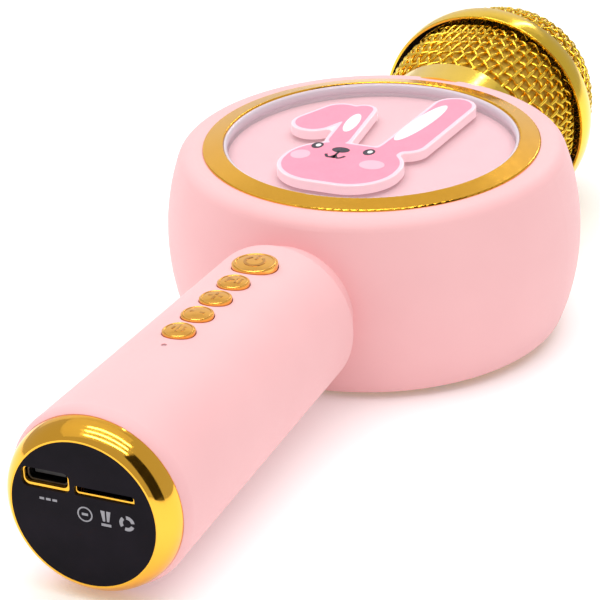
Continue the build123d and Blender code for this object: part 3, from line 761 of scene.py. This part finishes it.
def contour(shape, level, start, step=0.35):
    """Closed loop where shape equals level, walked from start."""

    def settle(p):
        for _ in range(6):
            g = slope(p)
            p = p - g * (shape(*p) - level) / max(g @ g, 0.2)
        return p

    def slope(p):
        e = 0.01
        along_x = shape(p[0] + e, p[1]) - shape(p[0] - e, p[1])
        along_y = shape(p[0], p[1] + e) - shape(p[0], p[1] - e)
        return np.array([along_x, along_y]) / (2 * e)

    p = settle(np.array(start, float))
    loop = [p]
    for _ in range(2000):
        g = slope(p)
        p = settle(p + step * np.array([-g[1], g[0]]) / np.linalg.norm(g))
        if len(loop) > 10 and np.linalg.norm(p - loop[0]) < step * 0.75:
            break
        loop.append(p)
    return [tuple(q) for q in loop]


def oval(cx, cy, half_w, half_h, degrees=0.0, count=48):
    """Loop of a leaning ellipse."""
    c, s = math.cos(math.radians(degrees)), math.sin(math.radians(degrees))
    loop = []
    for k in range(count):
        t = 2 * math.pi * k / count
        u, v = half_w * math.cos(t), half_h * math.sin(t)
        loop.append((cx + u * c - v * s, cy + u * s + v * c))
    return loop


def stroke(points, width):
    """Loop round a line of points."""
    left, right = [], []
    for k, p in enumerate(points):
        a, b = np.array(points[max(k - 1, 0)]), np.array(points[min(k + 1, len(points) - 1)])
        d = (b - a) / np.linalg.norm(b - a)
        n = np.array([-d[1], d[0]]) * width / 2
        left.append(tuple(np.array(p) + n))
        right.append(tuple(np.array(p) - n))
    return left + right[::-1]


RELIEF_TOP = rabbit_high[2]
LAYER = 0.03


def ink(name, loop, level, material):
    """Printed layer on the relief's top; a higher level lies over a lower one."""
    height = RELIEF_TOP + level * LAYER
    plate(name, loop, lambda x, y: height, LAYER * 0.9, material, "housing")


ink("print_edge", contour(rabbit, -0.35, (HEAD_X, -27.5)), 1, EDGE_WHITE)
ink("print_fur", contour(rabbit, -1.0, (HEAD_X, -27.0)), 2, FUR_PINK)
ink("print_ear_inner_long", oval(7.4, 11.8, 11.6, 2.2, 82), 3, INK_WHITE)
ink("print_ear_inner_short", oval(-7.6, 6.6, 5.4, 1.55, 97), 3, INK_WHITE)
ink("print_cheek_left", oval(-11.3, -14.0, 2.2, 2.5), 3, CHEEK_PINK)
ink("print_cheek_right", oval(6.3, -14.4, 2.9, 2.5), 3, CHEEK_PINK)
for side, x, y in (("left", -9.7, -8.1), ("right", 2.9, -8.0)):
    ink(f"print_eye_{side}", oval(x, y, 1.35, 1.75), 3, INK_DARK)
    ink(f"print_eye_light_{side}", oval(x + 0.2, y + 0.1, 0.6, 0.8), 4, INK_WHITE)
NOSE_X = -3.6
MOUTH_Y = -11.9
ink("print_nose", oval(NOSE_X, -8.9, 2.1, 1.5), 3, INK_DARK)
ink("print_nose_line", stroke([(NOSE_X, -9.8), (NOSE_X, -12.6)], 0.6), 3, INK_DARK)
smile = [
    (NOSE_X + 2.3 * t, MOUTH_Y - 1.5 * (1 - (abs(t) - 0.5) ** 2 * 4)) for t in np.linspace(-1, 1, 25)
]
ink("print_mouth", stroke(smile, 0.7), 3, INK_DARK)

# ---------------------------------------------------------------- raised signs on the buttons

SIGN_T = 0.22
SIGN_SINK = 0.12
SIGN_BEVEL = 0.05
BUTTON_FLANGE = 0.4
BUTTON_DOME = 0.55
# Section of the raised rim: radius as a share of the dome's, and height over RIM_MIDDLE's.
RIM_SECTION = ((0.80, -0.10), (0.83, 0.13), (0.88, 0.15), (0.93, 0.02), (0.94, -0.14))
RIM_MIDDLE = 0.87


def dome_lift(node):
    """Centre and radius of a button's dome, and the height of a sign's top at x, y on it."""
    low, high = corners(node)
    cx, cy = (low[0] + high[0]) / 2, (low[1] + high[1]) / 2
    radius = (high[0] - low[0]) / 2 - BUTTON_FLANGE
    sphere = (radius**2 + BUTTON_DOME**2) / (2 * BUTTON_DOME)
    top = high[2]

    def lift(x, y):
        cap = math.sqrt(sphere**2 - (x - cx) ** 2 - (y - cy) ** 2)
        return top - sphere + cap + SIGN_T - SIGN_SINK

    return cx, cy, radius, lift


def raised(button, part, loop):
    """Sign on a button; the loop is in shares of the dome's radius."""
    cx, cy, radius, lift = dome_lift(f"{button}_button")
    loop = [(cx + x * radius, cy + y * radius) for x, y in loop]
    name, body = f"{button}_sign_{part}", f"{button}_key"
    plate(name, loop, lift, SIGN_T, SIGN_BROWN, body, bevel=SIGN_BEVEL)


def arc_stroke(radius, start, stop, width, count=40):
    """Loop round an arc between two angles."""
    angles = [math.radians(start + (stop - start) * k / count) for k in range(count + 1)]
    return stroke([(radius * math.cos(a), radius * math.sin(a)) for a in angles], width)


for button in BUTTONS:
    cx, cy, radius, lift = dome_lift(f"{button}_button")
    base = lift(cx + radius * RIM_MIDDLE, cy) - SIGN_T + SIGN_SINK
    rim = [(radius * share, base + rise) for share, rise in RIM_SECTION]
    verts, faces = ring_of(rim, 96, upright_turn)
    verts = [(cx + x, cy + y, z) for x, y, z in verts]
    piece(f"{button}_rim", verts, faces, BUTTON_GOLD, f"{button}_key")
raised("power", "ring", arc_stroke(0.42, 125, 415, 0.13))
raised("power", "bar", stroke([(0, 0.12), (0, 0.6)], 0.13))
raised("play", "arrow", [(-0.42, -0.36), (-0.42, 0.36), (0.1, 0.0)])
for k, x in enumerate((0.24, 0.48)):
    raised("play", f"bar_{k}", stroke([(x, -0.34), (x, 0.34)], 0.13))
raised("volume_up", "across", stroke([(-0.46, 0), (0.46, 0)], 0.17))
raised("volume_up", "along_low", stroke([(0, -0.46), (0, -0.09)], 0.17))
raised("volume_up", "along_high", stroke([(0, 0.09), (0, 0.46)], 0.17))
raised("volume_down", "across", stroke([(-0.46, 0), (0.46, 0)], 0.17))
for k, half in enumerate((0.16, 0.42, 0.28)):
    raised("voice", f"wave_{k}", stroke([(-0.34 + 0.34 * k, -half), (-0.34 + 0.34 * k, half)], 0.14))

# ---------------------------------------------------------------- small marks on the end label

LABEL_Y = label_low[1]
MARK_PROUD = 0.03
MARK_SINK = 0.01


def label_mark(name, loop, centre, size):
    """Thin printed mark standing MARK_PROUD off the label; the loop is seen along +Y."""
    count = len(loop)
    flat = [(centre[0] + x * size, centre[1] + y * size + AXIS_Z) for x, y in loop]
    verts = [(x, LABEL_Y - MARK_PROUD, z) for x, z in flat]
    verts += [(x, LABEL_Y + MARK_SINK, z) for x, z in flat]
    faces = [tuple(range(count)), tuple(range(2 * count - 1, count - 1, -1))]
    faces += [(k, (k + 1) % count, count + (k + 1) % count, count + k) for k in range(count)]
    piece(name, verts, faces, INK_GREY, "housing", smooth=False)


# Size of the marks, and the place of each: X and height above the long axis.
MARK = 1.75
RING_AT = (0.4, 0.2)
BOX_AT = (4.9, 0.1)
LOOP_AT = (9.4, 0.0)
PORT_AT = (-7.4, 1.9)
label_mark("mark_ring", arc_stroke(0.85, 0, 359.9, 0.17), RING_AT, MARK)
label_mark("mark_ring_bar", stroke([(-0.38, 0), (0.38, 0)], 0.3), RING_AT, MARK)
for k, (x0, x1) in enumerate(((-0.62, -0.1), (0.62, 0.1))):
    side_loop = [(x0, 0.95), (x1, 0.95), (x1 * 1.1, -0.35), (x0 * 0.62, -0.35)]
    label_mark(f"mark_box_{k}", side_loop, BOX_AT, MARK)
foot_loop = [(-0.6, -0.62), (0.6, -0.62), (0.6, -0.95), (-0.6, -0.95)]
label_mark("mark_box_foot", foot_loop, BOX_AT, MARK)
for k in range(3):
    label_mark(f"mark_loop_{k}", arc_stroke(0.72, 120 * k + 8, 120 * k + 96, 0.42), LOOP_AT, MARK)
for k in range(3):
    dash = stroke([(-1.9 + 1.4 * k, 0), (-0.9 + 1.4 * k, 0)], 0.5)
    label_mark(f"mark_port_{k}", dash, PORT_AT, 1.0)

# ---------------------------------------------------------------- camera, floor, light


def look_from(azimuth, elevation, roll, target, distance):
    """World matrix of a camera at a direction and distance from a point."""
    a, e, r = (math.radians(v) for v in (azimuth, elevation, roll))
    back = Vector((math.sin(a) * math.cos(e), -math.cos(a) * math.cos(e), math.sin(e)))
    right = Vector((math.cos(a), math.sin(a), 0))
    up = back.cross(right)
    right, up = right * math.cos(r) + up * math.sin(r), up * math.cos(r) - right * math.sin(r)
    turn = Matrix((right, up, back)).transposed().to_4x4()
    return Matrix.Translation(Vector(target) + back * distance) @ turn


CAMERA_LENS = 169.84
CAMERA_AZIMUTH = 25.55
CAMERA_ELEVATION = 25.984
CAMERA_ROLL = -2.4725
CAMERA_TARGET = (0.0003245, -0.0417806, AXIS_Z * MM)
CAMERA_DISTANCE = 0.61753

camera_data = bpy.data.cameras.new("camera")
camera_data.sensor_width = 36
camera_data.lens = CAMERA_LENS
camera_data.clip_start = 0.01
camera = bpy.data.objects.new("camera", camera_data)
bpy.context.scene.collection.objects.link(camera)
camera.matrix_world = look_from(
    CAMERA_AZIMUTH, CAMERA_ELEVATION, CAMERA_ROLL, CAMERA_TARGET, CAMERA_DISTANCE
)
bpy.context.scene.camera = camera

world = bpy.data.worlds.new("studio")
bpy.context.scene.world = world
world.use_nodes = True
sky = world.node_tree.nodes["Background"]
sky.inputs["Color"].default_value = (1.0, 1.0, 1.0, 1)
sky.inputs["Strength"].default_value = 0.54

# The floor leans, because the microphone lies on its head's band and its handle's lip.
LIP_FROM_END = 3.0
FLOOR_GAP = 0.05
FLOOR_HALF = 2.5
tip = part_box("handle_tube")
band_y, band_z = band_high[1], band_low[2]
lip_y, lip_z = tip[0][1] / MM + LIP_FROM_END, tip[0][2] / MM
slope_y = (band_z - lip_z) / (band_y - lip_y)
level = (band_z - slope_y * band_y - FLOOR_GAP) * MM
floor_corners = [(-FLOOR_HALF, -FLOOR_HALF), (FLOOR_HALF, -FLOOR_HALF)]
floor_corners += [(FLOOR_HALF, FLOOR_HALF), (-FLOOR_HALF, FLOOR_HALF)]
floor_mesh = bpy.data.meshes.new("floor")
floor_mesh.from_pydata([(x, y, level + slope_y * y) for x, y in floor_corners], [], [(0, 1, 2, 3)])
floor_look = Finish("pale_floor", Specular_IOR_Level=0.2)
floor_look.tint(floor_look.noise(4.0), (0.94, 0.94, 0.94), (0.96, 0.96, 0.96))
floor_look.shader.inputs["Emission Color"].default_value = (1, 1, 1, 1)
floor_look.shader.inputs["Emission Strength"].default_value = 0.17
floor_look.spread(floor_look.noise(30.0), "Roughness", 0.7, 0.85)
floor_look.bump(floor_look.noise(700.0), 0.05, 0.05)
floor_mesh.materials.append(floor_look.material)
floor = bpy.data.objects.new("floor", floor_mesh)
bpy.context.scene.collection.objects.link(floor)


def area_light(name, place, aim, size, power):
    """White soft box at a place, aimed at a point."""
    data = bpy.data.lights.new(name, "AREA")
    data.shape = "RECTANGLE"
    data.size, data.size_y = size
    data.energy = power
    lamp = bpy.data.objects.new(name, data)
    bpy.context.scene.collection.objects.link(lamp)
    lamp.location = place
    lamp.rotation_euler = (Vector(aim) - Vector(place)).to_track_quat("-Z", "Y").to_euler()
    return lamp


key = area_light("key_overhead", (-0.1, 0.1, 1.15), (0, -0.02, 0.02), (2.0, 2.0), 21.0)
key.visible_glossy = False


def studio_card(name, centre, direction, distance, size, look):
    """Studio card that only shows in reflections."""
    out = Vector(direction).normalized()
    side = out.cross(Vector((0, 1, 0))).normalized() * size[0] / 2
    up = side.cross(out).normalized() * size[1] / 2
    at = Vector(centre) + out * distance
    mesh = bpy.data.meshes.new(name)
    card_corners = [at - side - up, at + side - up, at + side + up, at - side + up]
    mesh.from_pydata(card_corners, [], [(0, 1, 2, 3)])
    mesh.materials.append(look)
    card = bpy.data.objects.new(name, mesh)
    bpy.context.scene.collection.objects.link(card)
    card.visible_camera = False
    card.visible_diffuse = False
    card.visible_shadow = False
    card.visible_transmission = False


CARD_BLACK = moulded("card_black", (0.01, 0.008, 0.007), (0.02, 0.017, 0.015), 0.9)


def glowing_card(name, shade, strength):
    """Warm white card that gives off light in reflections."""
    look = Finish(name)
    look.tint(look.noise(6.0), (shade,) * 3, (shade * 1.05,) * 3)
    look.shader.inputs["Emission Color"].default_value = (1.0, 0.97, 0.9, 1)
    look.shader.inputs["Emission Strength"].default_value = strength
    return look.material


CARD_STRIP = glowing_card("card_strip", 0.9, 12.0)
CARD_SOFT = glowing_card("card_soft", 0.6, 0.2)
cap_centre = (0.0, -0.138, AXIS_Z * MM)
collar_centre = (0.0, 0.049, AXIS_Z * MM)
studio_card("card_dark_side", cap_centre, (0.84, -0.40, 0.40), 0.7, (0.85, 0.42), CARD_BLACK)
for k, slant in enumerate((-0.42, -0.14, 0.14)):
    studio_card(f"card_light_{k}", cap_centre, (0.05, slant, 0.97), 0.7, (0.62, 0.05), CARD_STRIP)
studio_card("card_light_collar", collar_centre, (0.04, 0.81, 0.58), 0.8, (0.04, 0.4), CARD_STRIP)
studio_card("card_soft_back", (0, 0, AXIS_Z * MM), (-0.39, 0.81, 0.44), 1.5, (2.2, 1.3), CARD_SOFT)
studio_card("card_soft_top", (0, 0, AXIS_Z * MM), (-0.2, 0.0, 0.98), 1.4, (2.0, 2.0), CARD_SOFT)

bpy.context.scene.view_settings.view_transform = "Standard"
